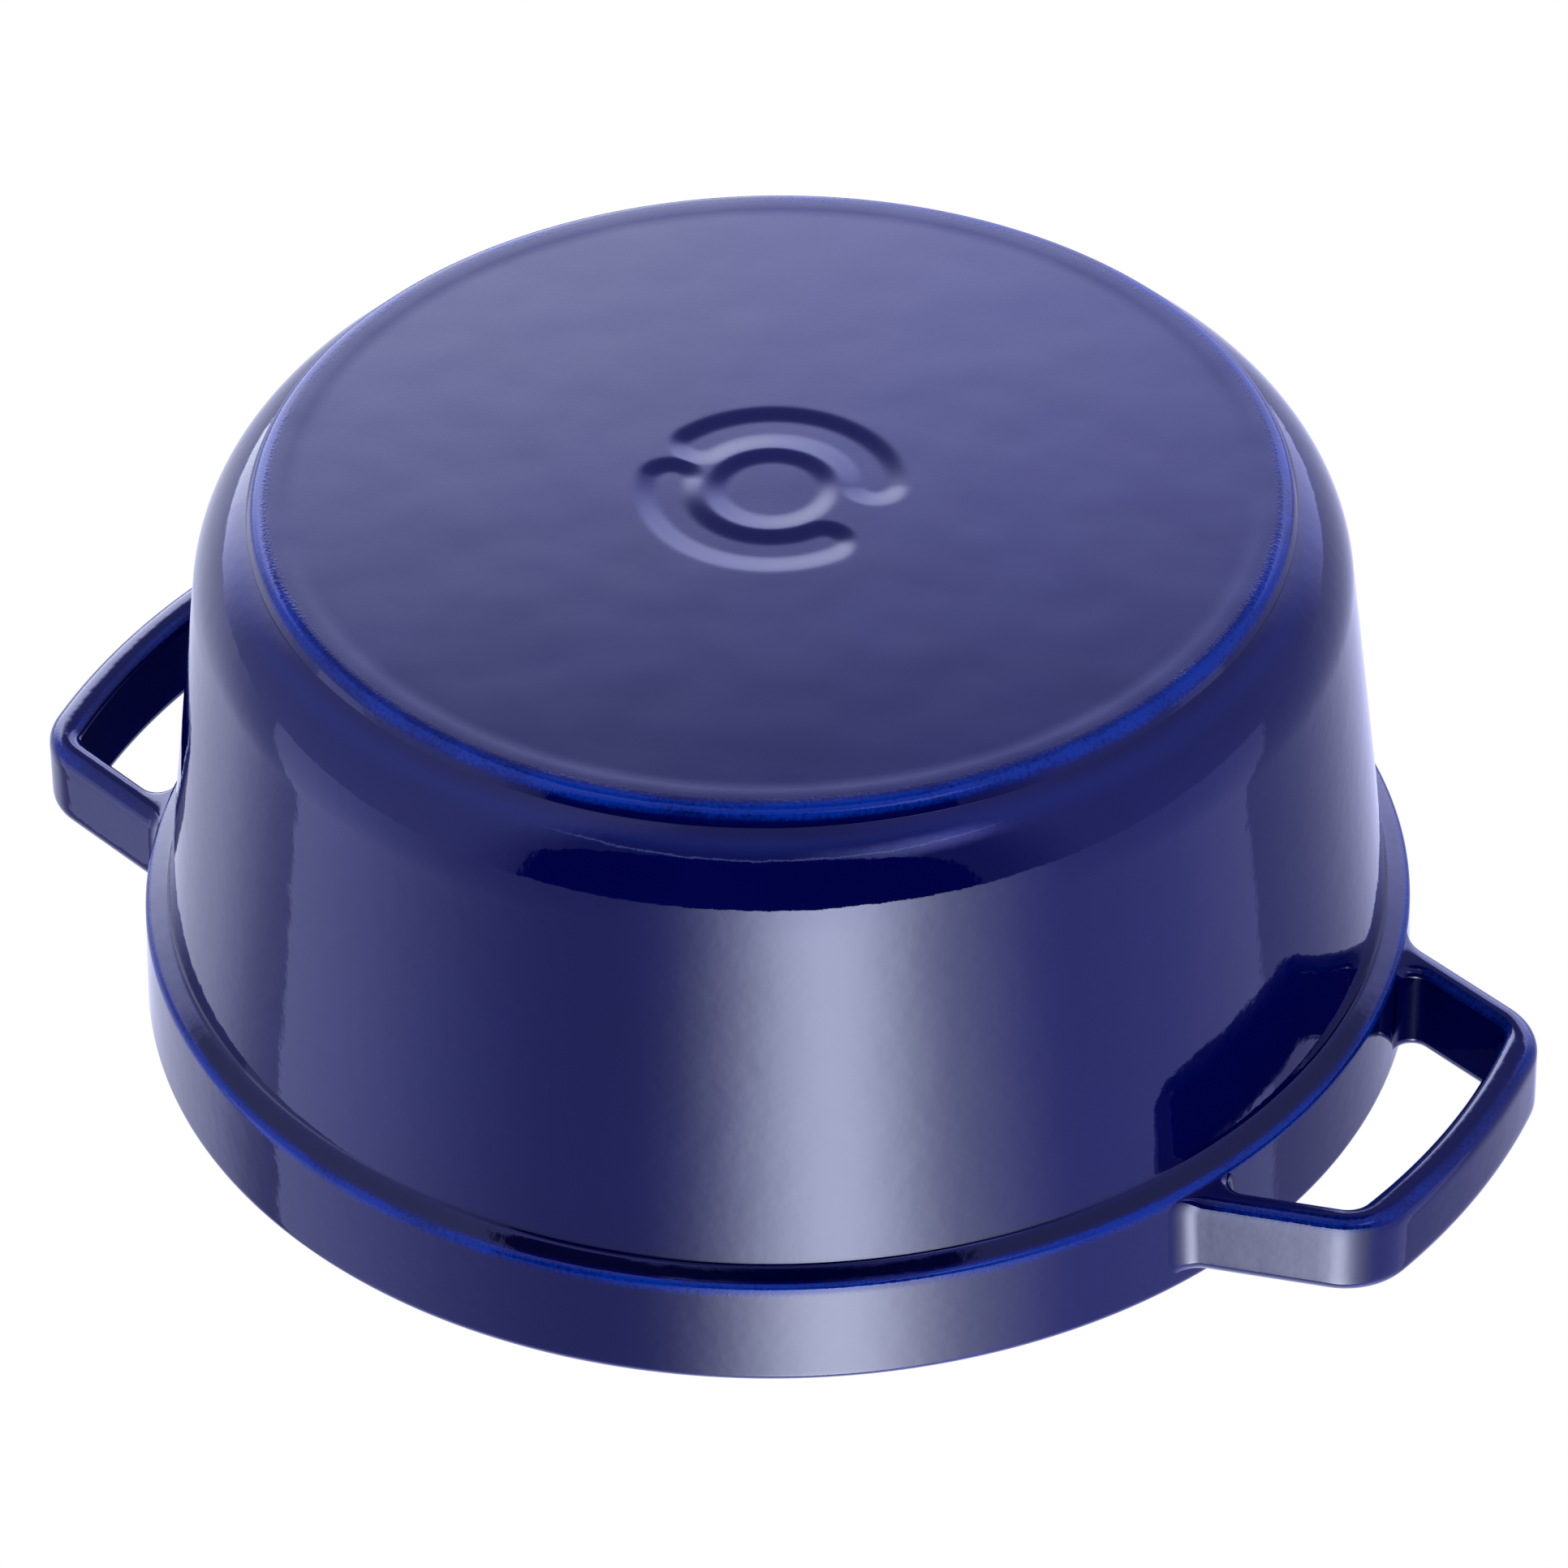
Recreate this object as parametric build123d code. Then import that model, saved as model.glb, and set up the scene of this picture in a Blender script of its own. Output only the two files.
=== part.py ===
from build123d import *
import os

# Enamelled cast iron dutch oven, upright, in millimetres.
# The foot stands on z = 0, the pot's axis is Z and the two handles point along X.

# Pot, outside
pot_height = 118.5
wall_radius_high = 123.7
wall_flare = 13.2
wall_radius_low = wall_radius_high - wall_flare
foot_inset = 10.4
foot_radius = wall_radius_low - foot_inset
foot_ring_width = 6.0
foot_slope_width = 4.0
foot_lean = 0.47
foot_edge_rounding = 3.2
foot_cove = 0.6
base_recess = 0.2
shoulder_height = 0.25
shoulder_rounding = 22.5
wall_thickness = 4.8
floor_top = 5.6

# Rim band, with the flange face that runs out to it from the wall
band_drop = 23.0
flange_rise = 2.2
flange_outer_height = pot_height - band_drop
flange_inner_height = flange_outer_height - flange_rise
flange_cove = 1.6
flange_edge_rounding = 2.0
band_overhang = 2.0
band_flare = 0.6
band_radius_low = wall_radius_high + band_overhang
band_radius_high = band_radius_low + band_flare
rim_outer_rounding = 2.0
rim_inner_rounding = 1.2

# Lid seat inside the rim band
seat_depth = 11.5
rim_wall = 4.5
seat_height = pot_height - seat_depth
seat_radius = band_radius_high - rim_wall
seat_edge_rounding = 0.8
inner_corner_rounding = 17.0

# Loop handles, cast in one with the rim band
handle_projection = 32.0
handle_drop = 4.3
handle_depth = 17.8
handle_reach = band_radius_low + handle_projection
handle_high = pot_height - handle_drop
handle_low = handle_high - handle_depth
grip_thickness = 7.2
arm_thickness = 5.9
arm_root_inset = 7.7
arm_root_half_width = 46.2
arm_length = 27.0
arm_taper = 8.0
handle_outer_corner = 15.0
handle_inner_corner = 5.0
handle_edge_rounding = 2.5
handle_draft = 6.0
root_flare = 8.0
gap_flare = 5.5
root_sink = 0.7
root_ring_wall = 2.4
root_ring_outer = band_radius_low - root_sink
root_ring_inner = root_ring_outer - root_ring_wall
gap_sink = 2.3
gap_inner_radius = band_radius_low - gap_sink

# Shallow casting mark in the middle of the base
mark_depth = 0.4
mark_dimple_radius = 11.0
mark_arc_radius = 20.0
mark_arc_width = 9.0
mark_arc_span = 130.0
mark_arc_turns = (95.0, 262.0)

# Lid
lid_clearance = 0.8
brim_thickness = 5.0
brim_fall = 0.8
brim_edge_rounding = 1.6
locating_clearance = 0.9
locating_width = 3.8
locating_drop = 3.6
plateau_rise = 12.6
plateau_thickness = 4.6
plateau_inset = 24.0
lip_height = 2.6
lip_slope = 2.5
lip_top_width = 3.6
riser_slope = 4.0
riser_thickness = 4.6
lid_rounding = 1.5
screw_hole_radius = 3.4

# Basting bumps under the lid, in rings from the outermost inwards
bump_ring_inset = 13.0
bump_ring_step = 24.0
bump_ring_counts = (22, 16, 10)
bump_radius = 3.4
bump_height = 2.0

# Knob
knob_height = 36.0
knob_foot_radius = 12.0
knob_foot_height = 3.0
knob_neck_radius = 8.5
knob_neck_height = 15.0
knob_head_radius = 19.0
knob_head_height = 27.0
knob_rounding = 3.0
knob_edge_rounding = 1.0
thread_clearance = 0.1
thread_bore_depth = 16.0

# Screw and washer that hold the knob
screw_radius = 3.0
screw_engagement = 13.0
screw_head_radius = 6.0
screw_head_height = 3.6
screw_head_rounding = 1.2
screw_slot_width = 1.6
screw_slot_depth = 1.5
washer_inner_radius = 3.3
washer_outer_radius = 7.5
washer_thickness = 1.2


def wall_radius(height):
    """Outside radius of the straight wall at a height."""
    return wall_radius_low + (wall_radius_high - wall_radius_low) * height / pot_height


def bore_radius(height):
    """Inside radius of the straight wall at a height."""
    return wall_radius(height) - wall_thickness


def rounded_face(corners):
    """Flat face from (x, y, rounding) corners in order."""
    face = make_face(Polyline(*[(x, y) for x, y, _ in corners], close=True))
    for x, y, rounding in corners:
        if rounding:
            corner = face.vertices().sort_by_distance((x, y, 0))[0]
            face = fillet(corner, rounding)
    return face


def turned(face):
    """Solid of revolution about Z from a face drawn as (radius, height)."""
    return revolve(Plane.XZ * face, Axis.Z)


# Pot body: floor, shoulder, wall, flange, band and lid seat in one outline
shell_face = rounded_face([
    (0, shoulder_height, 0),
    (wall_radius(shoulder_height), shoulder_height, shoulder_rounding),
    (wall_radius(flange_inner_height), flange_inner_height, flange_cove),
    (band_radius_low, flange_outer_height, flange_edge_rounding),
    (band_radius_high, pot_height, rim_outer_rounding),
    (seat_radius, pot_height, rim_inner_rounding),
    (seat_radius, seat_height, 0),
    (bore_radius(seat_height), seat_height, seat_edge_rounding),
    (bore_radius(floor_top), floor_top, inner_corner_rounding),
    (0, floor_top, 0),
])
foot_inner = foot_radius - foot_ring_width
foot_top = 0.9 * floor_top


def foot_side(height):
    """Radius of the foot's leaning side at a height."""
    return foot_radius + foot_lean * height


foot_face = rounded_face([
    (0, base_recess, 0),
    (foot_inner - foot_slope_width, base_recess, 0),
    (foot_inner, 0, 0),
    (foot_side(0), 0, foot_edge_rounding),
    (foot_side(foot_top), foot_top, 0),
    (0, foot_top, 0),
])
body_face = shell_face + foot_face
foot_ends = [v for v in body_face.vertices() if abs(v.X - foot_side(v.Y)) < 0.01]
body_face = fillet(max(foot_ends, key=lambda v: v.Y), foot_cove)
pot = turned(body_face)

# Handles: both loops on one hidden ring, so that their roots flare into the band
arm_root_x = band_radius_low - arm_root_inset
arm_fall = arm_taper / arm_length


def arm_half_width(x, inset):
    """Half width of the handle at a distance from the axis, inset from its outer face."""
    return arm_root_half_width - arm_fall * (x - arm_root_x) - inset * (1 + arm_fall ** 2) ** 0.5


def handle_plan(reach, inset):
    """Tapering handle outline in plan, closed by an arc about the pot's axis."""
    near, far = reach / 2, reach + handle_projection
    taper = make_face(Polyline(
        (near, arm_half_width(near, inset)),
        (far, arm_half_width(far, inset)),
        (far, -arm_half_width(far, inset)),
        (near, -arm_half_width(near, inset)),
        close=True,
    ))
    return taper & Circle(reach)


def from_axis(point):
    """Distance of a point from the pot's axis."""
    return (point.X ** 2 + point.Y ** 2) ** 0.5


outer_plan = handle_plan(handle_reach, 0)
outer_ends = [v for v in outer_plan.vertices() if from_axis(v) > handle_reach - 1]
outer_plan = fillet(outer_ends, handle_outer_corner)
gap_reach = handle_reach - grip_thickness
inner_plan = handle_plan(gap_reach, arm_thickness)
inner_ends = [v for v in inner_plan.vertices() if from_axis(v) > gap_reach - 1]
inner_plan = fillet(inner_ends, handle_inner_corner)
gap_plan = inner_plan - Circle(gap_inner_radius)
gap_roots = [v for v in gap_plan.vertices() if from_axis(v) < gap_inner_radius + 0.1]
gap_plan = fillet(gap_roots, gap_flare)
plan = Circle(root_ring_outer) + outer_plan + Rot(0, 0, 180) * outer_plan
outer_roots = [v for v in plan.vertices() if abs(from_axis(v) - root_ring_outer) < 0.01]
plan = fillet(outer_roots, root_flare)
handles = extrude(plan, handle_depth, dir=(0, 0, 1))
gap = mirror(extrude(gap_plan, handle_depth, dir=(0, 0, 1), taper=handle_draft), Plane.XY)
handles -= gap
handles -= Rot(0, 0, 180) * gap
handles = fillet(handles.faces().filter_by(Axis.Z).edges(), handle_edge_rounding)
handles -= Cylinder(root_ring_inner, 3 * handle_depth)
pot += Pos(0, 0, handle_low) * handles

# Casting mark in the base: a dimple between two bare arc panels
mark = Circle(mark_dimple_radius)
for turn in mark_arc_turns:
    mark += Rot(0, 0, turn - mark_arc_span / 2) * SlotArc(
        CenterArc((0, 0), mark_arc_radius, 0, mark_arc_span), mark_arc_width
    )
pot -= Pos(0, 0, base_recess) * extrude(mark, mark_depth)

# Lid: brim on the seat, locating ring, riser and plateau with an upstanding lip
lid_radius = seat_radius - lid_clearance
plateau_radius = lid_radius - plateau_inset
brim_top = seat_height + brim_thickness
plateau_top = seat_height + plateau_rise
plateau_under = plateau_top - plateau_thickness
locating_radius = bore_radius(seat_height - locating_drop) - locating_clearance
lip_outer = plateau_radius + lip_slope + lip_top_width
lid = turned(rounded_face([
    (screw_hole_radius, plateau_top, 0),
    (plateau_radius, plateau_top, lid_rounding),
    (plateau_radius + lip_slope, plateau_top + lip_height, lid_rounding),
    (lip_outer, plateau_top + lip_height, lid_rounding),
    (lip_outer + riser_slope, brim_top, lid_rounding),
    (lid_radius, brim_top - brim_fall, brim_edge_rounding),
    (lid_radius, seat_height, 0),
    (locating_radius, seat_height, 0),
    (locating_radius, seat_height - locating_drop, 0),
    (locating_radius - locating_width, seat_height - locating_drop, 0),
    (locating_radius - locating_width, seat_height, 0),
    (lip_outer + riser_slope - riser_thickness, seat_height, lid_rounding),
    (lip_outer - riser_thickness, plateau_under, lid_rounding),
    (screw_hole_radius, plateau_under, 0),
]))
sphere_radius = (bump_radius ** 2 + bump_height ** 2) / (2 * bump_height)
ball = Pos(0, 0, plateau_under + sphere_radius - bump_height) * Sphere(sphere_radius)
bump = ball & Pos(0, 0, plateau_under) * Cylinder(
    2 * bump_radius, 2 * bump_height, align=(Align.CENTER, Align.CENTER, Align.MAX)
)
for ring, count in enumerate(bump_ring_counts):
    lid += PolarLocations(plateau_radius - bump_ring_inset - ring * bump_ring_step, count) * bump

# Knob: foot, waist and broad head with a shallow dome, bored from below
knob_base = plateau_top
dome_base = knob_base + knob_head_height
knob = turned(rounded_face([
    (0, knob_base, 0),
    (knob_foot_radius, knob_base, 0),
    (knob_foot_radius, knob_base + knob_foot_height, knob_edge_rounding),
    (knob_neck_radius, knob_base + knob_foot_height, knob_edge_rounding),
    (knob_neck_radius, knob_base + knob_neck_height, knob_rounding),
    (knob_head_radius, dome_base - knob_rounding, knob_rounding),
    (knob_head_radius, knob_base + knob_height - knob_rounding, knob_rounding),
    (0, knob_base + knob_height, 0),
]))
knob -= Pos(0, 0, knob_base) * Cylinder(
    screw_radius + thread_clearance, thread_bore_depth, align=(Align.CENTER, Align.CENTER, Align.MIN)
)

# Washer under the plateau and the screw that passes up through it into the knob
washer_low = plateau_under - washer_thickness
washer = Pos(0, 0, washer_low) * extrude(
    Circle(washer_outer_radius) - Circle(washer_inner_radius), washer_thickness
)
head_low = washer_low - screw_head_height
screw = turned(rounded_face([
    (0, head_low, 0),
    (screw_head_radius, head_low, screw_head_rounding),
    (screw_head_radius, washer_low, 0),
    (screw_radius, washer_low, 0),
    (screw_radius, knob_base + screw_engagement, 0),
    (0, knob_base + screw_engagement, 0),
]))
screw -= Pos(0, 0, head_low) * Box(
    3 * screw_head_radius, screw_slot_width, screw_slot_depth,
    align=(Align.CENTER, Align.CENTER, Align.MIN),
)

os.makedirs("parts", exist_ok=True)
nodes = {
    "pot": pot,
    "lid": lid,
    "knob": knob,
    "knob_screw": screw,
    "screw_washer": washer,
}
for name, shape in nodes.items():
    export_step(shape, "parts/" + name + ".step")
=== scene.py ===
import math

import bpy
import numpy as np
from mathutils import Matrix, Vector


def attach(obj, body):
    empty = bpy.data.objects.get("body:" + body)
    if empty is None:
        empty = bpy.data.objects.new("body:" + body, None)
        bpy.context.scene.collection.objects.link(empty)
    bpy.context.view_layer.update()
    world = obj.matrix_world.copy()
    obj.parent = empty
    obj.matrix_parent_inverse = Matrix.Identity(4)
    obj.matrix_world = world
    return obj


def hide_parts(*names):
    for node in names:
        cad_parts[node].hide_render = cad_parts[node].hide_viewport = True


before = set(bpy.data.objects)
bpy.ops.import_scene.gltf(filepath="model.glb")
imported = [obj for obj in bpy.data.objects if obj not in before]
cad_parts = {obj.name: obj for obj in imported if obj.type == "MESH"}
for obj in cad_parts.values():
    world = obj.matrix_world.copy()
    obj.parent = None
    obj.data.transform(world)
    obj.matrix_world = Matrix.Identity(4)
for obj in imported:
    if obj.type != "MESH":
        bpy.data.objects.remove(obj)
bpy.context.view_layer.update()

# Sizes of the castings in millimetres; meshes are scaled to metres when made.
MM = 0.001

# Pot
pot_height = 118.5
wall_radius_high = 123.7
wall_radius_low = 110.5
wall_thickness = 4.8
floor_top = 5.6
foot_radius = 100.1
foot_lean = 0.47
foot_inner = 95.8
foot_slope_width = 2.8
foot_slope_rounding = 220.0
foot_edge_rounding = 3.2
foot_cove = 0.6
base_recess = 0.034
shoulder_height = 0.25
shoulder_rounding = 22.5
flange_inner_height = 93.3
flange_outer_height = 95.5
flange_shares = (0.36, 0.5, 0.64)
flange_cove = 1.6
flange_edge_rounding = 2.0
band_radius_low = 125.7
band_radius_high = 126.25
rim_outer_rounding = 2.0
rim_inner_rounding = 1.2
seat_height = 107.0
seat_radius = 121.8
seat_cove = 0.5
seat_edge_rounding = 0.8
inner_corner_rounding = 17.0
band_rings = np.arange(99.5, 116.0, 1.5)

# Loop handles
handle_reach = 157.7
handle_low = 96.4
handle_high = 114.2
grip_thickness = 7.2
arm_thickness = 5.9
arm_root = np.array((118.0, 46.2))
arm_along = np.array((27.0, -8.0)) / math.hypot(27.0, 8.0)
arm_across = np.array((8.0, 27.0)) / math.hypot(27.0, 8.0)
arm_end_depth = 2.5
handle_outer_corner = 15.0
handle_inner_corner = 5.0
handle_outer_rounding = 3.2
handle_inner_rounding = 2.2
handle_draft = math.tan(math.radians(6.0))
root_flare = 8.0
gap_flare = 4.0
flare_sink = 0.06

# Bare mark in the base, and the rings of the mesh that carry it
mark_depth = 0.24
mark_dimple_radius = 11.0
mark_arc_radius = 20.0
mark_arc_half_width = 4.5
mark_arc_half_span = math.radians(65.0)
mark_arc_turns = (math.radians(95.0), math.radians(262.0))
mark_softness = 2.4
mark_rings = np.arange(4.0, 29.0, 0.8)
mark_reach = 30.0

# Lid
lid_radius = 121.0
brim_top = 112.0
brim_fall = 0.8
locating_radius = 116.32
locating_width = 3.8
locating_drop = 3.6
plateau_top = 119.6
plateau_under = 115.0
plateau_radius = 97.0
lip_slope = 2.5
lip_outer = 103.1
lip_top = 122.2
riser_slope = 4.0
riser_thickness = 4.6
lid_rounding = 1.5
brim_rounding = 1.6
ring_rounding = 0.8
lid_seat_rounding = 0.4
screw_hole_radius = 3.4
bump_ring_radius = 36.0
bump_ring_step = 24.0
bump_radius = 3.4
bump_height = 2.0
bump_rings = 3
bump_first_count = 10
bump_count_step = 6

# How the glaze lies: thin above 0; pooled below 0, which darkens coves and the flange face as pooled
# glaze and painted shade together; and matt from matt_glaze on.
foot_edge_glaze = 1.05
foot_cove_pool_and_shade = -0.6
flange_cove_pool_and_shade = -0.7
flange_face_pool_and_shade = -0.85
flange_edge_glaze = 1.0
rim_glaze = 0.6
handle_edge_glaze = 0.6
brim_glaze = 0.8
lip_glaze = 0.9
lid_cove_pool_and_shade = -0.4
matt_glaze = -2
glaze_spread = 0.4
glaze_spread_per_rounding = 0.35
root_fade = (0, 8.0)
loop_fade = (-1.5, 1.0)

# Mesh steps: along a straight run, round a turned piece, along a rounding, and along a handle
run_fine = 0.8
run_coarse = 5.0
run_growth = 1.5
run_half = 0.47
turn_steps = 280
rounding_steps = 12
shoulder_steps = 28
arm_steps = 12
grip_steps = 14
side_steps = 9
edge_turns = np.radians(np.linspace(15, 90, 6))
bump_steps = (20, 12)

# Colours
deep_blue = (0.0004, 0.0008, 0.053, 1.0)
cloudy_blue = (0.0006, 0.0014, 0.061, 1.0)
thin_blue = (0.0008, 0.0220, 0.275, 1.0)
# Pooled glaze together with painted shade in coves and on the flange face
pooled_glaze_and_shade_blue = (0.0003, 0.0003, 0.022, 1.0)
blue_glint = (0.60, 0.64, 1.0, 1.0)
deep_black = (0.0085, 0.0085, 0.0095, 1.0)
cloudy_black = (0.015, 0.015, 0.017, 1.0)
pale_nickel = (0.71, 0.65, 0.54)
screw_grey = (0.56, 0.56, 0.57)
washer_grey = (0.60, 0.60, 0.61)
floor_grey = (0.80, 0.80, 0.80, 1.0)
floor_pale = (0.82, 0.82, 0.82, 1.0)
white = (1.0, 1.0, 1.0, 1.0)

# Where the photograph was taken from: from below the standing pot, with the picture turned over.
view_bearing = math.radians(58.93)
view_elevation = math.radians(-38.107)
view_roll = math.radians(179.245)
view_distance = 1.9285
view_target = Vector((0.00264, -0.00159, 0.0723))
view_lens = 224.12
view_shift = (-0.00497, -0.00093)
view_front = Vector((math.cos(view_bearing), math.sin(view_bearing), 0.0))
view_right = Vector((math.sin(view_bearing), -math.cos(view_bearing), 0.0))

# Light card in front of the pot, and the floor, in metres; a glow is a strength, a middle and a width
card_distance = 0.370
card_sides = (-0.30, 0.50)
card_heights = (0.0075, 0.60)
card_glow = (9.5, 0.048, 0.063)
card_side_glow = (1.6, 0.170, 0.090)
floor_half = 6.0
floor_fade = (0.4, 2.4)


class Wire:
    """One output socket of a node tree. Arithmetic on wires adds Math nodes."""

    def __init__(self, tree, socket=None):
        self.tree = tree
        self.socket = socket

    def node(self, kind, settings=None, inputs=None, output=0):
        """A new node: its settings first, then the values or links of its sockets."""
        made = self.tree.nodes.new(kind)
        for name, value in (settings or {}).items():
            setattr(made, name, value)
        for name, value in (inputs or {}).items():
            for item in value if isinstance(value, list) else [value]:
                if isinstance(item, Wire):
                    self.tree.links.new(item.socket, made.inputs[name])
                else:
                    made.inputs[name].default_value = item
        return Wire(self.tree, made.outputs[output] if made.outputs else None)

    def math(self, operation, *values):
        return self.node("ShaderNodeMath", {"operation": operation}, dict(enumerate(values)))

    def __add__(self, other):
        return self.math("ADD", self, other)

    def __radd__(self, other):
        return self.math("ADD", other, self)

    def __sub__(self, other):
        return self.math("SUBTRACT", self, other)

    def __rsub__(self, other):
        return self.math("SUBTRACT", other, self)

    def __mul__(self, other):
        return self.math("MULTIPLY", self, other)

    def __rmul__(self, other):
        return self.math("MULTIPLY", other, self)

    def __truediv__(self, other):
        return self.math("DIVIDE", self, other)

    def __pow__(self, other):
        return self.math("POWER", self, other)

    def __neg__(self):
        return self.math("MULTIPLY", self, -1.0)

    def __abs__(self):
        return self.math("ABSOLUTE", self)

    def parts(self):
        """The X, Y and Z of this wire's vector."""
        return [self.node("ShaderNodeSeparateXYZ", {}, {0: self}, axis) for axis in "XYZ"]

    def along(self, axis):
        """How far this wire's vector goes along an axis."""
        return self.node(
            "ShaderNodeVectorMath", {"operation": "DOT_PRODUCT"}, {0: self, 1: axis}, "Value"
        )

    def step(self, low, high):
        """0 below low, 1 above high, and a smooth rise between them."""
        return self.node(
            "ShaderNodeMapRange",
            {"interpolation_type": "SMOOTHSTEP"},
            {"Value": self, "From Min": low, "From Max": high},
        )

    def mix(self, start, end):
        """Colour between start and end, with this wire as the share of end."""
        return self.node(
            "ShaderNodeMix", {"data_type": "RGBA"}, {0: self, 6: start, 7: end}, 2
        )

    def noise(self, scale, detail=2.0, roughness=0.5):
        """Noise on this wire's coordinates, about 0 to 1."""
        return self.node(
            "ShaderNodeTexNoise", {},
            {"Vector": self, "Scale": scale, "Detail": detail, "Roughness": roughness},
        )


def new_material(name):
    """An empty node material and the wire to start it from."""
    material = bpy.data.materials.new(name)
    material.use_nodes = True
    material.node_tree.nodes.clear()
    return material, Wire(material.node_tree)


def finish_material(start, sockets):
    """Ends a material in one Principled shader with these sockets."""
    shader = start.node("ShaderNodeBsdfPrincipled", {}, sockets)
    start.node("ShaderNodeOutputMaterial", {}, {"Surface": shader})


def blue_enamel():
    """Deep blue glaze: brighter where it runs thin over edges, darker in coves and on the flange face
    from pooled glaze with painted shade.
    """
    material, start = new_material("blue_enamel")
    place = start.node("ShaderNodeTexCoord", output="Object")
    glaze = start.node("ShaderNodeAttribute", {"attribute_name": "thin_glaze"}, output="Fac")
    x, y, z = place.parts()
    radius = (x * x + y * y) ** 0.5
    under = (1 - z.step(0.0004, 0.0016)) * (1 - radius.step(0.0985, 0.1000))
    cloud = place.noise(28.0, 3.0)
    patch = place.noise(39.5, 2.0)
    mottle = place.noise(1300.0, 2.0)
    ripple = place.noise(150.0, 1.0)
    pebble = place.noise(420.0, 1.0)
    swell = place.noise(45.0, 1.0)
    grain = place.noise(2600.0, 1.0)
    crown = radius.step(0.1010, 0.1045) * (1 - z.step(0.0055, 0.0095))
    bare = glaze * (0.10 + 1.8 * mottle) * (1.25 - 0.55 * patch.step(0.36, 0.64))
    thin = (bare + 0.34 * crown).step(0.10, 1.2)
    # Pooled glaze in coves and on the flange face, darkened further as painted shade
    pooled_glaze_and_shade = (-glaze).step(0.05, 1.0) * (1 - (-glaze).step(1.1, 1.7))
    deep = cloud.step(0.3, 0.7).mix(deep_blue, cloudy_blue)
    thinned = thin.mix(deep, thin_blue)
    colour = pooled_glaze_and_shade.mix(thinned, pooled_glaze_and_shade_blue)
    roughness = 0.028 + 0.072 * under + 0.02 * (grain - 0.5)
    relief = (
        (1 - 0.95 * under) * (0.00004 * ripple + 0.000016 * pebble)
        + 0.00007 * (1 - 0.45 * under) * swell
        + 0.0000022 * grain + 0.00002 * thin * mottle
    )
    normal = start.node("ShaderNodeBump", {}, {"Height": relief, "Distance": 1.0})
    glossy = start.node("ShaderNodeBsdfPrincipled", {}, {
        "Base Color": colour, "Roughness": roughness, "Normal": normal,
        "IOR": 1.52, "Specular IOR Level": 0.62, "Specular Tint": blue_glint,
    })
    dull = start.node("ShaderNodeBsdfPrincipled", {}, {
        "Base Color": colour, "Roughness": 0.5, "Normal": normal, "Specular IOR Level": 0.0,
    })
    matt = 0.97 * (-glaze).step(1.4, 2.0) + 0.3 * glaze.step(0.2, 0.9)
    surface = start.node("ShaderNodeMixShader", {}, {0: matt, 1: glossy, 2: dull})
    start.node("ShaderNodeOutputMaterial", {}, {"Surface": surface})
    return material


def black_enamel():
    """Matt black enamel of the cooking surfaces, with a fine pebbled skin."""
    material, start = new_material("black_enamel")
    place = start.node("ShaderNodeTexCoord", output="Object")
    speck = place.noise(900.0, 2.0)
    cloud = place.noise(40.0, 2.0)
    colour = cloud.step(0.3, 0.7).mix(deep_black, cloudy_black)
    relief = 0.00006 * speck
    normal = start.node("ShaderNodeBump", {}, {"Height": relief, "Distance": 1.0})
    finish_material(start, {
        "Base Color": colour, "Roughness": 0.42 + 0.16 * speck, "IOR": 1.5, "Normal": normal,
    })
    return material


def turned_metal(name, colour, roughness, line):
    """Metal turned on a lathe: fine rings round the axis, of this spacing in metres."""
    material, start = new_material(name)
    place = start.node("ShaderNodeTexCoord", output="Object")
    x, y, z = place.parts()
    radius = (x * x + y * y) ** 0.5
    rings = start.node("ShaderNodeCombineXYZ", {}, {"X": radius, "Z": z})
    score = rings.noise(1.0 / line, 2.0)
    smear = place.noise(60.0, 2.0)
    darker = tuple(0.82 * c for c in colour) + (1.0,)
    tint = score.step(0.25, 0.75).mix(darker, tuple(colour) + (1.0,))
    relief = 0.000004 * score
    normal = start.node("ShaderNodeBump", {}, {"Height": relief, "Distance": 1.0})
    finish_material(start, {
        "Base Color": tint, "Metallic": 1.0, "Normal": normal,
        "Roughness": roughness + 0.10 * (score - 0.5) + 0.08 * (smear - 0.5),
    })
    return material


def arc_between(centre, start, end, steps):
    """Points on the shorter arc about a centre from start to end, both included."""
    first = math.atan2(start[1] - centre[1], start[0] - centre[0])
    last = math.atan2(end[1] - centre[1], end[0] - centre[0])
    sweep = (last - first + math.pi) % (2 * math.pi) - math.pi
    turns = first + sweep * np.linspace(0, 1, steps + 1)
    return centre + math.dist(start, centre) * np.stack([np.cos(turns), np.sin(turns)], 1)


def run_between(start, end):
    """Points inside a straight run, close together near its ends."""
    length = math.dist(start, end)
    if length <= 2 * run_fine:
        return np.zeros((0, 2))
    offsets = [run_fine]
    while offsets[-1] < length / 2:
        offsets.append(offsets[-1] + min(run_coarse, run_growth ** len(offsets) * run_fine))
    near = np.array([offset for offset in offsets if offset < run_half * length]) / length
    shares = np.concatenate([near, [0.5], 1 - near[::-1]])
    return start + shares[:, None] * (end - start)


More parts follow.
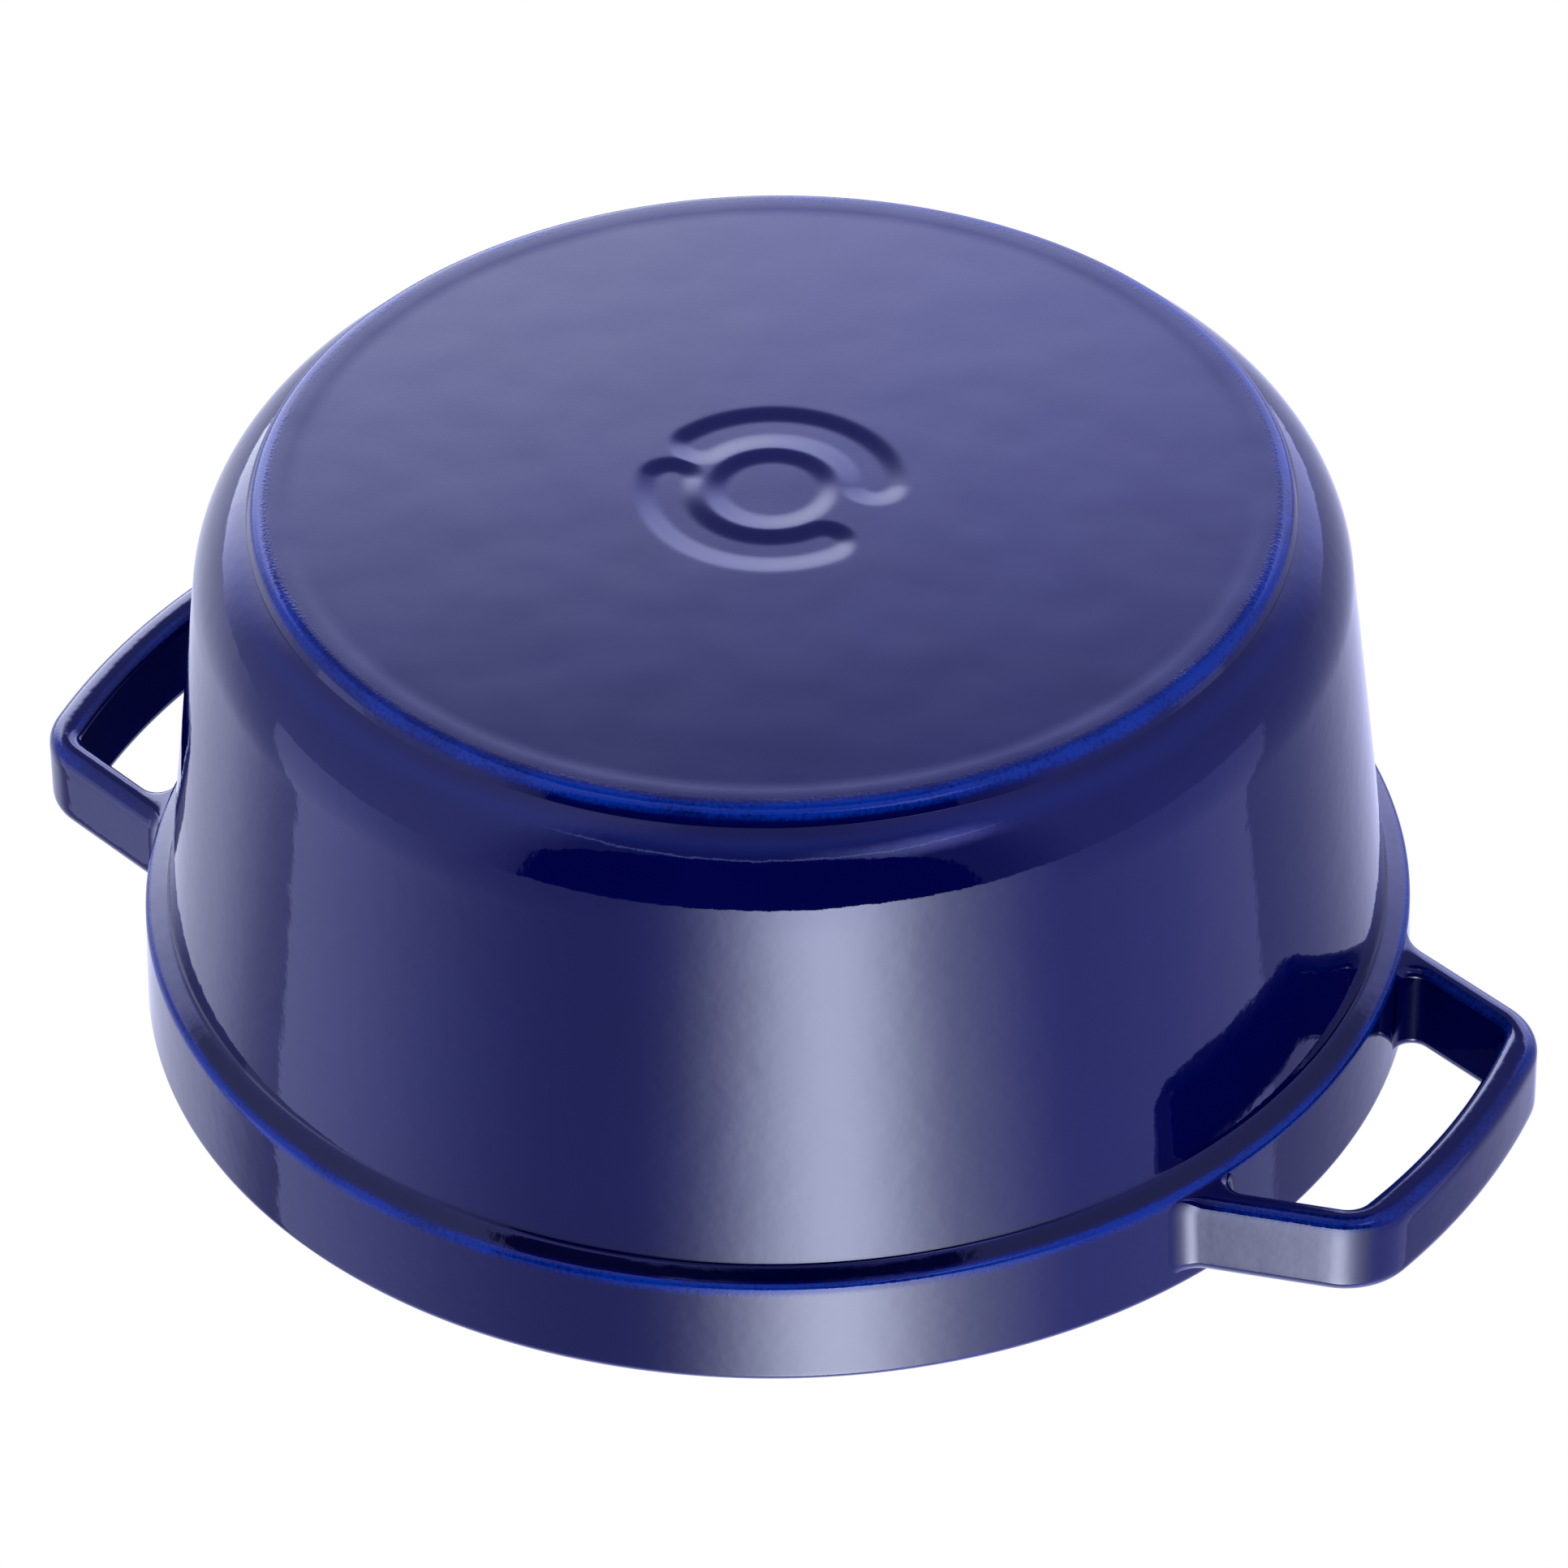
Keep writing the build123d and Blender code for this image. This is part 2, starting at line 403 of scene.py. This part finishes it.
def rounded_outline(corners):
    """Outline points and their glaze weights from (r, z, rounding, glaze) corners in order."""
    places = np.array([(r, z) for r, z, _, _ in corners])
    pieces = []
    for index, (r, z, rounding, glaze) in enumerate(corners):
        here = places[index]
        if rounding:
            back = places[index - 1] - here
            on = places[index + 1] - here
            back /= np.linalg.norm(back)
            on /= np.linalg.norm(on)
            half = math.acos(back @ on) / 2
            reach = rounding / math.tan(half)
            inward = (back + on) / np.linalg.norm(back + on)
            centre = here + inward * rounding / math.sin(half)
            ends = here + back * reach, here + on * reach
            pieces.append(arc_between(centre, *ends, rounding_steps))
        else:
            pieces.append(here[None])
    points = [pieces[0]]
    middles = []
    for piece, corner in zip(pieces[1:], corners[1:]):
        points.append(run_between(points[-1][-1], piece[0]))
        middles.append((sum(map(len, points)) + len(piece) // 2, corner[2], corner[3]))
        points.append(piece)
    outline = np.concatenate(points)
    length = np.concatenate([[0], np.cumsum(np.linalg.norm(np.diff(outline, axis=0), axis=1))])
    glaze = np.zeros(len(outline))
    for index, rounding, weight in middles:
        spread = glaze_spread + glaze_spread_per_rounding * rounding
        glaze += weight * np.exp(-0.5 * ((length - length[index]) / spread) ** 2)
    return outline, glaze


def revolved(outline):
    """Vertices, faces and outline index of each vertex.

    An outline starts and ends on the axis, or on the wall of a hole along it.
    """
    bored = outline[0, 0] > 0
    owner = np.arange(len(outline)) if bored else np.arange(1, len(outline) - 1)
    rings = outline[owner]
    count = turn_steps
    angles = np.linspace(0, 2 * math.pi, count, endpoint=False)
    vertices = np.stack([
        np.outer(rings[:, 0], np.cos(angles)),
        np.outer(rings[:, 0], np.sin(angles)),
        np.repeat(rings[:, 1:], count, 1),
    ], 2).reshape(-1, 3)
    index = np.arange(len(vertices)).reshape(-1, count)
    if bored:
        index = np.concatenate([index, index[:1]])
    turned = np.roll(index, -1, axis=1)
    quads = np.stack([index[:-1], turned[:-1], turned[1:], index[1:]], 2).reshape(-1, 4)
    faces = quads.tolist()
    owner = np.repeat(owner, count)
    if not bored:
        first, last = len(vertices), len(vertices) + 1
        vertices = np.concatenate([vertices, [(0, 0, outline[0, 1]), (0, 0, outline[-1, 1])]])
        faces += [[first, turned[0, j], index[0, j]] for j in range(count)]
        faces += [[last, index[-1, j], turned[-1, j]] for j in range(count)]
        owner = np.concatenate([owner, [0, len(outline) - 1]])
    return vertices, faces, owner


def wall_radius(height):
    """Outside radius of the straight wall at a height."""
    return wall_radius_low + (wall_radius_high - wall_radius_low) * height / pot_height


def bore_radius(height):
    """Inside radius of the straight wall at a height."""
    return wall_radius(height) - wall_thickness


def band_radius(height):
    """Outside radius of the rim band at a height."""
    share = (height - flange_outer_height) / (pot_height - flange_outer_height)
    return band_radius_low + (band_radius_high - band_radius_low) * share


def flange_face():
    """Places across the flange between the wall and the band's edge."""
    inner = np.array((wall_radius(flange_inner_height), flange_inner_height))
    outer = np.array((band_radius_low, flange_outer_height))
    return [inner + share * (outer - inner) for share in flange_shares]


def shoulder_arc():
    """The shoulder's rounding outside the foot, and where the foot's side meets it."""
    lean = math.atan2(wall_radius_high - wall_radius_low, pot_height)
    reach = shoulder_rounding / math.tan((math.pi / 2 + lean) / 2)
    centre = np.array((wall_radius(shoulder_height) - reach, shoulder_height + shoulder_rounding))
    side = np.array((foot_lean, 1.0)) / math.hypot(foot_lean, 1.0)
    start = np.array((foot_radius, 0.0)) - centre
    across = start @ side
    along = -across - math.sqrt(across ** 2 - start @ start + shoulder_rounding ** 2)
    meets = centre + start + along * side
    first = math.acos((meets[0] + foot_cove - centre[0]) / shoulder_rounding)
    turns = np.linspace(-first, -lean, shoulder_steps)
    return centre + shoulder_rounding * np.stack([np.cos(turns), np.sin(turns)], 1), meets


def pot_outline():
    """Outline of the pot from the middle of its base round to the middle of its floor."""
    shoulder, meets = shoulder_arc()
    corners = [(0, base_recess, 0, 0)]
    corners += [(r, base_recess, 0, 0) for r in mark_rings]
    corners += [
        (foot_inner - foot_slope_width, base_recess, foot_slope_rounding, 0),
        (foot_inner, 0, foot_slope_rounding, 0),
        (foot_radius, 0, foot_edge_rounding, foot_edge_glaze),
        (*meets, foot_cove, foot_cove_pool_and_shade),
    ]
    corners += [(r, z, 0, 0) for r, z in shoulder]
    corners += [
        (wall_radius(flange_inner_height), flange_inner_height, flange_cove, flange_cove_pool_and_shade),
        *[(*place, 0, flange_face_pool_and_shade) for place in flange_face()],
        (band_radius_low, flange_outer_height, flange_edge_rounding, flange_edge_glaze),
    ]
    corners += [(band_radius(z), z, 0, 0) for z in band_rings]
    corners += [
        (band_radius_high, pot_height, rim_outer_rounding, rim_glaze),
        (seat_radius, pot_height, rim_inner_rounding, 0),
        (seat_radius, seat_height, seat_cove, 0),
        (bore_radius(seat_height), seat_height, seat_edge_rounding, 0),
        (bore_radius(floor_top), floor_top, inner_corner_rounding, 0),
        (0, floor_top, 0, 0),
    ]
    return rounded_outline(corners)


def press_mark(vertices):
    """Sinks the bare casting mark softly into the base: a dimple between two arc panels."""
    radius = np.hypot(vertices[:, 0], vertices[:, 1])
    angle = np.arctan2(vertices[:, 1], vertices[:, 0])
    edges = [radius - mark_dimple_radius]
    for turn in mark_arc_turns:
        off = np.abs((angle - turn + math.pi) % (2 * math.pi) - math.pi)
        beyond = np.maximum(off - mark_arc_half_span, 0)
        end = np.hypot(radius - mark_arc_radius * np.cos(beyond), mark_arc_radius * np.sin(beyond))
        edges.append(np.where(beyond > 0, end, np.abs(radius - mark_arc_radius)) - mark_arc_half_width)
    depth = np.zeros(len(vertices))
    for edge in edges:
        share = np.clip(0.5 - edge / (2 * mark_softness), 0, 1)
        depth = np.maximum(depth, share * share * (3 - 2 * share))
    flat = (np.abs(vertices[:, 2] - base_recess) < 0.01) & (radius < mark_reach)
    vertices[flat, 2] += mark_depth * depth[flat]


def where_line_meets(point, direction, radius):
    """Far crossing of a line with a circle about the axis."""
    along = point @ direction
    return point + direction * (math.sqrt(along ** 2 - point @ point + radius ** 2) - along)


def half_loop(inset, reach, corner, flare, ring):
    """Half of the handle's plan, from its flared root on a ring to the middle of its grip.

    A positive flare leaves the arm outwards and a negative one into the loop.
    """
    line = arm_root - inset * arm_across
    hub = where_line_meets(line + flare * arm_across, arm_along, ring + abs(flare))
    foot = hub * ring / (ring + abs(flare))
    spring = hub - flare * arm_across
    centre = where_line_meets(line - corner * arm_across, arm_along, reach - corner)
    bend = centre + corner * arm_across
    grip = centre * reach / (reach - corner)
    root = arc_between(hub, foot, spring, arm_steps)
    deep = foot - (root[1] - root[0]) - arm_end_depth * foot / ring
    straight = spring + np.linspace(0, 1, arm_steps)[1:-1, None] * (bend - spring)
    turn = arc_between(centre, bend, grip, arm_steps)[:-1]
    front = arc_between(np.zeros(2), grip, np.array((reach, 0.0)), grip_steps)
    return np.concatenate([deep[None], root, straight, turn, front])


def mirrored(half):
    """A half loop and its mirror image, as one run from root to root."""
    return np.concatenate([half, half[-2::-1] * (1, -1)])


def handle_section():
    """The handle's section once round, as (inner side, inset, height, glaze)."""
    def half_section(side, rounding, wall_glaze):
        low, high = handle_low + rounding, handle_high - rounding
        wall = [(side, 0, z, wall_glaze) for z in np.linspace(low, high, side_steps)]
        edge = [
            (
                side, rounding * (1 - math.cos(a)), rounding * math.sin(a),
                handle_edge_glaze * math.sin(2 * a),
            )
            for a in edge_turns
        ]
        under = [(side, inset, low - rise, glaze) for side, inset, rise, glaze in edge[::-1]]
        over = [(side, inset, high + rise, glaze) for side, inset, rise, glaze in edge]
        return under + wall + over

    outer = half_section(0, handle_outer_rounding, 0)
    inner = half_section(1, handle_inner_rounding, matt_glaze)
    return outer + inner[::-1]


def handle_shell(band):
    """Vertices, faces and glaze of the handle on the +X side, its arms flared into the band."""
    columns = []
    section = handle_section()
    for side, inset, height, _ in section:
        ring = band(height) - flare_sink
        if side:
            sink = inset - handle_draft * (height - handle_low)
            half = half_loop(
                arm_thickness - sink, handle_reach - grip_thickness + sink,
                handle_inner_corner + sink, -gap_flare, ring,
            )
        else:
            half = half_loop(
                inset, handle_reach - inset, handle_outer_corner - inset, root_flare + inset, ring
            )
        plan = mirrored(half)
        columns.append(np.column_stack([plan, np.full(len(plan), height)]))
    vertices = np.stack(columns, 1)
    stations, count, _ = vertices.shape
    index = np.arange(stations * count).reshape(stations, count)
    turned = np.roll(index, -1, axis=1)
    faces = np.stack([index[:-1], turned[:-1], turned[1:], index[1:]], 2).reshape(-1, 4).tolist()
    faces += [index[0, ::-1].tolist(), index[-1].tolist()]
    glaze = np.tile([row[3] for row in section], stations)
    return vertices.reshape(-1, 3), faces, glaze


def smooth_share(values, low, high):
    """0 below low, 1 above high, and a smooth rise between them."""
    share = np.clip((values - low) / (high - low), 0, 1)
    return share * share * (3 - 2 * share)


def faded(glaze, distance):
    """Glaze weight that dies away towards a blended root, and faster inside the loop."""
    outer, inner = smooth_share(distance, *root_fade), smooth_share(distance, *loop_fade)
    return glaze * np.where(glaze > 0, outer, inner)


def new_object(name, data):
    """An object in the scene that holds this data."""
    made = bpy.data.objects.new(name, data)
    bpy.context.scene.collection.objects.link(made)
    return made


def new_sheet(name, corners, material):
    """One flat face in this material."""
    mesh = bpy.data.meshes.new(name)
    mesh.from_pydata(corners, [], [(0, 1, 2, 3)])
    mesh.materials.append(material)
    return new_object(name, mesh)


def new_piece(name, vertices, faces, glaze, materials, slots):
    """A smooth mesh object in metres, with a thin_glaze attribute and a material for each face."""
    mesh = bpy.data.meshes.new(name)
    mesh.from_pydata((np.asarray(vertices) * MM).tolist(), [], faces)
    for material in materials:
        mesh.materials.append(material)
    mesh.polygons.foreach_set("material_index", np.asarray(slots, np.int32))
    weights = mesh.attributes.new("thin_glaze", "FLOAT", "POINT")
    weights.data.foreach_set("value", np.asarray(glaze, np.float32))
    mesh.shade_smooth()
    return new_object(name, mesh)


def pot_casting(outside, inside):
    """The pot: a turned shell, and a shell for each handle that flares into its band."""
    outline, glaze = pot_outline()
    vertices, faces, owner = revolved(outline)
    rim = int(np.argmax(outline[:, 1] > pot_height - 0.001))
    slots = [int(owner[face].min() > rim or owner[face].max() == len(outline) - 1) for face in faces]
    weights = glaze[owner]
    press_mark(vertices)
    outside_band = outline[:rim + 1]
    outside_band = outside_band[outside_band[:, 1] > flange_outer_height + 0.2]
    arms, arm_faces, arm_glaze = handle_shell(
        lambda height: np.interp(height, outside_band[:, 1], outside_band[:, 0])
    )
    arm_glaze = faded(arm_glaze, np.hypot(arms[:, 0], arms[:, 1]) - band_radius_high)
    for turn in (1, -1):
        base = len(vertices)
        vertices = np.concatenate([vertices, arms * (turn, turn, 1)])
        faces += [[base + corner for corner in face] for face in arm_faces]
        weights = np.concatenate([weights, arm_glaze])
        slots += [0] * len(arm_faces)
    return new_piece("pot_casting", vertices, faces, weights, [outside, inside], slots)


def lid_casting(outside, inside):
    """The lid: plateau with a screw hole and an upstanding lip, riser, brim and locating ring."""
    riser_under = lip_outer + riser_slope - riser_thickness
    ring_low = seat_height - locating_drop
    ring_inner = locating_radius - locating_width
    corners = [
        (screw_hole_radius, plateau_under, 0, 0),
        (lip_outer - riser_thickness, plateau_under, lid_rounding, 0),
        (riser_under, seat_height, lid_rounding, 0),
        (ring_inner, seat_height, ring_rounding, 0),
        (ring_inner, ring_low, ring_rounding, 0),
        (locating_radius, ring_low, ring_rounding, 0),
        (locating_radius, seat_height, lid_seat_rounding, 0),
        (lid_radius, seat_height, lid_seat_rounding, 0),
        (lid_radius, brim_top - brim_fall, brim_rounding, brim_glaze),
        (lip_outer + riser_slope, brim_top, lid_rounding, lid_cove_pool_and_shade),
        (lip_outer, lip_top, lid_rounding, lip_glaze),
        (plateau_radius + lip_slope, lip_top, lid_rounding, lip_glaze),
        (plateau_radius, plateau_top, lid_rounding, lid_cove_pool_and_shade),
        (screw_hole_radius, plateau_top, 0, 0),
    ]
    outline, glaze = rounded_outline(corners)
    vertices, faces, owner = revolved(outline)
    edge = int(np.argmax(outline[:, 0] > lid_radius - 0.01))
    slots = [int(owner[face].max() <= edge) for face in faces]
    return new_piece("lid_casting", vertices, faces, glaze[owner], [outside, inside], slots)


def basting_bumps(material):
    """Rings of low domes under the lid, as one mesh from a Geometry Nodes tree."""
    tree = bpy.data.node_groups.new("basting_bumps", "GeometryNodeTree")
    sizes = {
        "First Ring Radius": bump_ring_radius * MM,
        "Ring Step": bump_ring_step * MM,
        "First Ring Count": bump_first_count,
        "Count Step": bump_count_step,
        "Bump Radius": bump_radius * MM,
        "Bump Height": bump_height * MM,
        "Plate Height": plateau_under * MM,
    }
    sockets = {
        name: tree.interface.new_socket(
            name, in_out="INPUT",
            socket_type="NodeSocketInt" if isinstance(value, int) else "NodeSocketFloat",
        )
        for name, value in sizes.items()
    }
    tree.interface.new_socket("Bumps", in_out="OUTPUT", socket_type="NodeSocketGeometry")
    start = Wire(tree)
    given = {name: start.node("NodeGroupInput", output=name) for name in sizes}
    rings = [
        start.node("GeometryNodeMeshCircle", {}, {
            "Vertices": given["First Ring Count"] + given["Count Step"] * ring,
            "Radius": given["First Ring Radius"] + given["Ring Step"] * ring,
        })
        for ring in range(bump_rings)
    ]
    points = start.node("GeometryNodeJoinGeometry", {}, {"Geometry": rings})
    lift = start.node("ShaderNodeCombineXYZ", {}, {"Z": given["Plate Height"]})
    raised = start.node("GeometryNodeTransform", {}, {"Geometry": points, "Translation": lift})
    ball = start.node("GeometryNodeMeshUVSphere", {}, {
        "Segments": bump_steps[0], "Rings": bump_steps[1], "Radius": 1.0,
    })
    shape = start.node("ShaderNodeCombineXYZ", {}, {
        "X": given["Bump Radius"], "Y": given["Bump Radius"], "Z": given["Bump Height"],
    })
    dome = start.node("GeometryNodeTransform", {}, {"Geometry": ball, "Scale": shape})
    spread = start.node("GeometryNodeInstanceOnPoints", {}, {"Points": raised, "Instance": dome})
    solid = start.node("GeometryNodeRealizeInstances", {}, {"Geometry": spread})
    smooth = start.node("GeometryNodeSetShadeSmooth", {}, {"Geometry": solid})
    dressed = start.node("GeometryNodeSetMaterial", {}, {"Geometry": smooth, "Material": material})
    start.node("NodeGroupOutput", {}, {"Bumps": dressed})

    piece = new_object("basting_bumps", bpy.data.meshes.new("basting_bumps_seed"))
    modifier = piece.modifiers.new("bumps", "NODES")
    modifier.node_group = tree
    for name, value in sizes.items():
        modifier[sockets[name].identifier] = value
    made = bpy.data.meshes.new_from_object(
        piece.evaluated_get(bpy.context.evaluated_depsgraph_get())
    )
    piece.modifiers.remove(modifier)
    piece.data = made
    return piece


def soft_studio():
    """World light: white to the camera, even on matt surfaces, a room of soft panels in reflections.

    Bearings are in degrees to the right of the pot's front, heights in degrees above the horizon.
    """
    world = bpy.data.worlds.new("soft_studio")
    world.use_nodes = True
    world.node_tree.nodes.clear()
    bpy.context.scene.world = world
    start = Wire(world.node_tree)
    way = start.node("ShaderNodeTexCoord", output="Generated")
    across = way.along(view_right)
    facing = way.along(view_front)
    bearing = start.math("ARCTAN2", across, facing) * math.degrees(1)
    height = start.math("ARCSINE", way.along((0, 0, 1))) * math.degrees(1)
    aside = abs(bearing)
    left = -bearing
    dip = -height

    # Above the horizon: dim walls with a bright panel on each side, and a pale ceiling.
    raised = 1 - height.step(28, 36)
    left_panel = 0.66 * left.step(38, 100) * (0.6 + 0.4 * raised * (1 - left.step(140, 175)))
    left_end = 0.56 * left.step(104, 132) - 0.45 * left.step(102.5, 104)
    right_panel = 0.16 * bearing.step(25, 50) + 0.12 * bearing.step(72, 98)
    right_end = 0.50 * bearing.step(105, 170) - 0.26 * bearing.step(99.5, 101)
    walls = 0.34 + left_panel + left_end + right_panel + right_end
    ceiling = 0.7 * height.step(45, 80)

    # Below it in front: dim sides, a thin bright line and a glint round a dark gap, dark straight down.
    ahead = 1 - aside.step(40, 60)
    sides = 0.30 + 0.28 * left.step(28, 68) + 0.08 * bearing.step(20, 60)
    sides = sides * (1 - 0.6 * ahead * (1 - dip.step(52, 68)))
    line = 0.9 * ahead * dip.step(48.6, 49.2) * (1 - dip.step(49.8, 50.6))
    glint = 1.2 * bearing.step(0, 36) * (1 - bearing.step(38, 58))
    glint = glint * dip.step(38, 49) * (1 - dip.step(51, 60))
    spread = (abs(bearing + 6.0) / 42.5) ** 3.4 + (abs(dip) / 48.7) ** 3.4
    gap = (1 - spread.step(0.972, 1.028)) * bearing.step(-47.2, -46.0)
    nadir = (1 - abs(across + 0.058).step(0.278, 0.305)) * (1 - facing.step(-0.01, 0.04))
    dark = (1 - gap) * (1 - 0.97 * dip.step(80, 88)) * (1 - 0.95 * nadir)
    fore = (sides + line + glint) * dark

    # Below it behind the pot: a bright sheet that the base mirrors.
    lean = 1.0 - 4.5 * across.math("MINIMUM", across.math("MAXIMUM", across, -0.08), 0.08)
    sheet = 0.25 + 3.15 * lean * (1 - dip.step(33.6, 38.5))
    back = sheet * (1 - 0.97 * dip.step(58, 74))
    behind = aside.step(120, 160)

    # All of it together, bluer where it is dim and on the right.
    below = fore * (1 - behind) + back * behind
    under = dip.step(0.2, 1.6)
    light = (walls + ceiling) * (1 - under) + below * under
    red = 1.235 * light * (1 - 0.16 * aside.step(70, 140))
    bright = (red + 1.4 * aside.step(80, 140) * (1 - under)).step(0.25, 4.5) * (1 - 0.25 * under)
    cool = 0.14 * bearing.step(20, 45) * (1 - 0.5 * bearing.step(70, 100))
    warmth = 0.56 + 0.34 * bright - cool
    shade = start.node("ShaderNodeCombineColor", {}, {0: warmth, 1: 1.03 * warmth, 2: 1.0})
    mirrored_ray = start.node("ShaderNodeLightPath", output="Is Glossy Ray")
    strength = (red / warmth) * mirrored_ray + (1 - mirrored_ray)
    tint = mirrored_ray.mix(white, shade)
    background = start.node("ShaderNodeBackground", {}, {"Color": tint, "Strength": strength})
    start.node("ShaderNodeOutputWorld", {}, {"Surface": background})


def front_card():
    """Soft light card standing in front of the pot; only reflections show it."""
    material, start = new_material("card_light")
    place = start.node("ShaderNodeTexCoord", output="Object")
    across = place.along(view_right)

    def glow(strength, middle, width):
        return strength * start.math("EXPONENT", -0.5 * ((across - middle) / width) ** 2.0)

    level = glow(*card_glow) + glow(*card_side_glow)
    colour = start.node("ShaderNodeCombineColor", {}, {0: level, 1: level, 2: 0.86 * level})
    lit = start.node("ShaderNodeEmission", {}, {"Color": colour})
    clear = start.node("ShaderNodeBsdfTransparent")
    both = start.node("ShaderNodeAddShader", {}, {0: lit, 1: clear})
    start.node("ShaderNodeOutputMaterial", {}, {"Surface": both})
    (left, right), (low, high) = card_sides, card_heights
    corners = [
        view_front * card_distance + view_right * side + Vector((0, 0, height))
        for side, height in ((left, low), (right, low), (right, high), (left, high))
    ]
    card = new_sheet("front_card", corners, material)
    card.visible_camera = False
    card.visible_diffuse = False
    card.visible_transmission = False
    card.visible_shadow = False


def pale_floor():
    """Pale floor that fades into the white room, and shows from above only."""
    material, start = new_material("pale_floor")
    place = start.node("ShaderNodeTexCoord", output="Object")
    cloud = place.noise(3.0, 2.0)
    colour = cloud.mix(floor_grey, floor_pale)
    surface = start.node("ShaderNodeBsdfDiffuse", {}, {"Color": colour})
    clear = start.node("ShaderNodeBsdfTransparent")
    behind = start.node("ShaderNodeNewGeometry", output="Backfacing")
    away = start.node("ShaderNodeVectorMath", {"operation": "LENGTH"}, {0: place}, "Value")
    hidden = behind.math("MAXIMUM", behind, away.step(*floor_fade))
    one_sided = start.node("ShaderNodeMixShader", {}, {0: hidden, 1: surface, 2: clear})
    start.node("ShaderNodeOutputMaterial", {}, {"Surface": one_sided})
    corners = [(floor_half * x, floor_half * y, 0) for x, y in ((-1, -1), (1, -1), (1, 1), (-1, 1))]
    floor = new_sheet("floor", corners, material)
    floor.visible_diffuse = False
    floor.visible_glossy = False
    floor.visible_transmission = False
    floor.visible_shadow = False


def photo_camera():
    """Camera at the photograph's place, looking up at the base."""
    data = bpy.data.cameras.new("photo_camera")
    data.sensor_width = 36.0
    data.lens = view_lens
    data.shift_x, data.shift_y = view_shift
    camera = new_object("photo_camera", data)
    turn = (
        Matrix.Rotation(view_bearing + math.pi / 2, 4, "Z")
        @ Matrix.Rotation(math.pi / 2 - view_elevation, 4, "X")
        @ Matrix.Rotation(view_roll, 4, "Z")
    )
    back = turn.to_3x3() @ Vector((0, 0, 1))
    camera.matrix_world = Matrix.Translation(view_target + back * view_distance) @ turn
    bpy.context.scene.camera = camera


glossy_blue = blue_enamel()
matt_black = black_enamel()

pot = pot_casting(glossy_blue, matt_black)
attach(pot, "pot")
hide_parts("pot")

lid = lid_casting(glossy_blue, matt_black)
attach(lid, "lid")
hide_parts("lid")

bumps = basting_bumps(matt_black)
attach(bumps, "lid")

for node, metal in (
    ("knob", turned_metal("knob_nickel", pale_nickel, 0.20, 0.0004)),
    ("knob_screw", turned_metal("screw_steel", screw_grey, 0.32, 0.0003)),
    ("screw_washer", turned_metal("washer_steel", washer_grey, 0.36, 0.0003)),
):
    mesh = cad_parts[node].data
    mesh.materials.clear()
    mesh.materials.append(metal)

soft_studio()
front_card()
pale_floor()
photo_camera()
bpy.context.scene.view_settings.view_transform = "Standard"
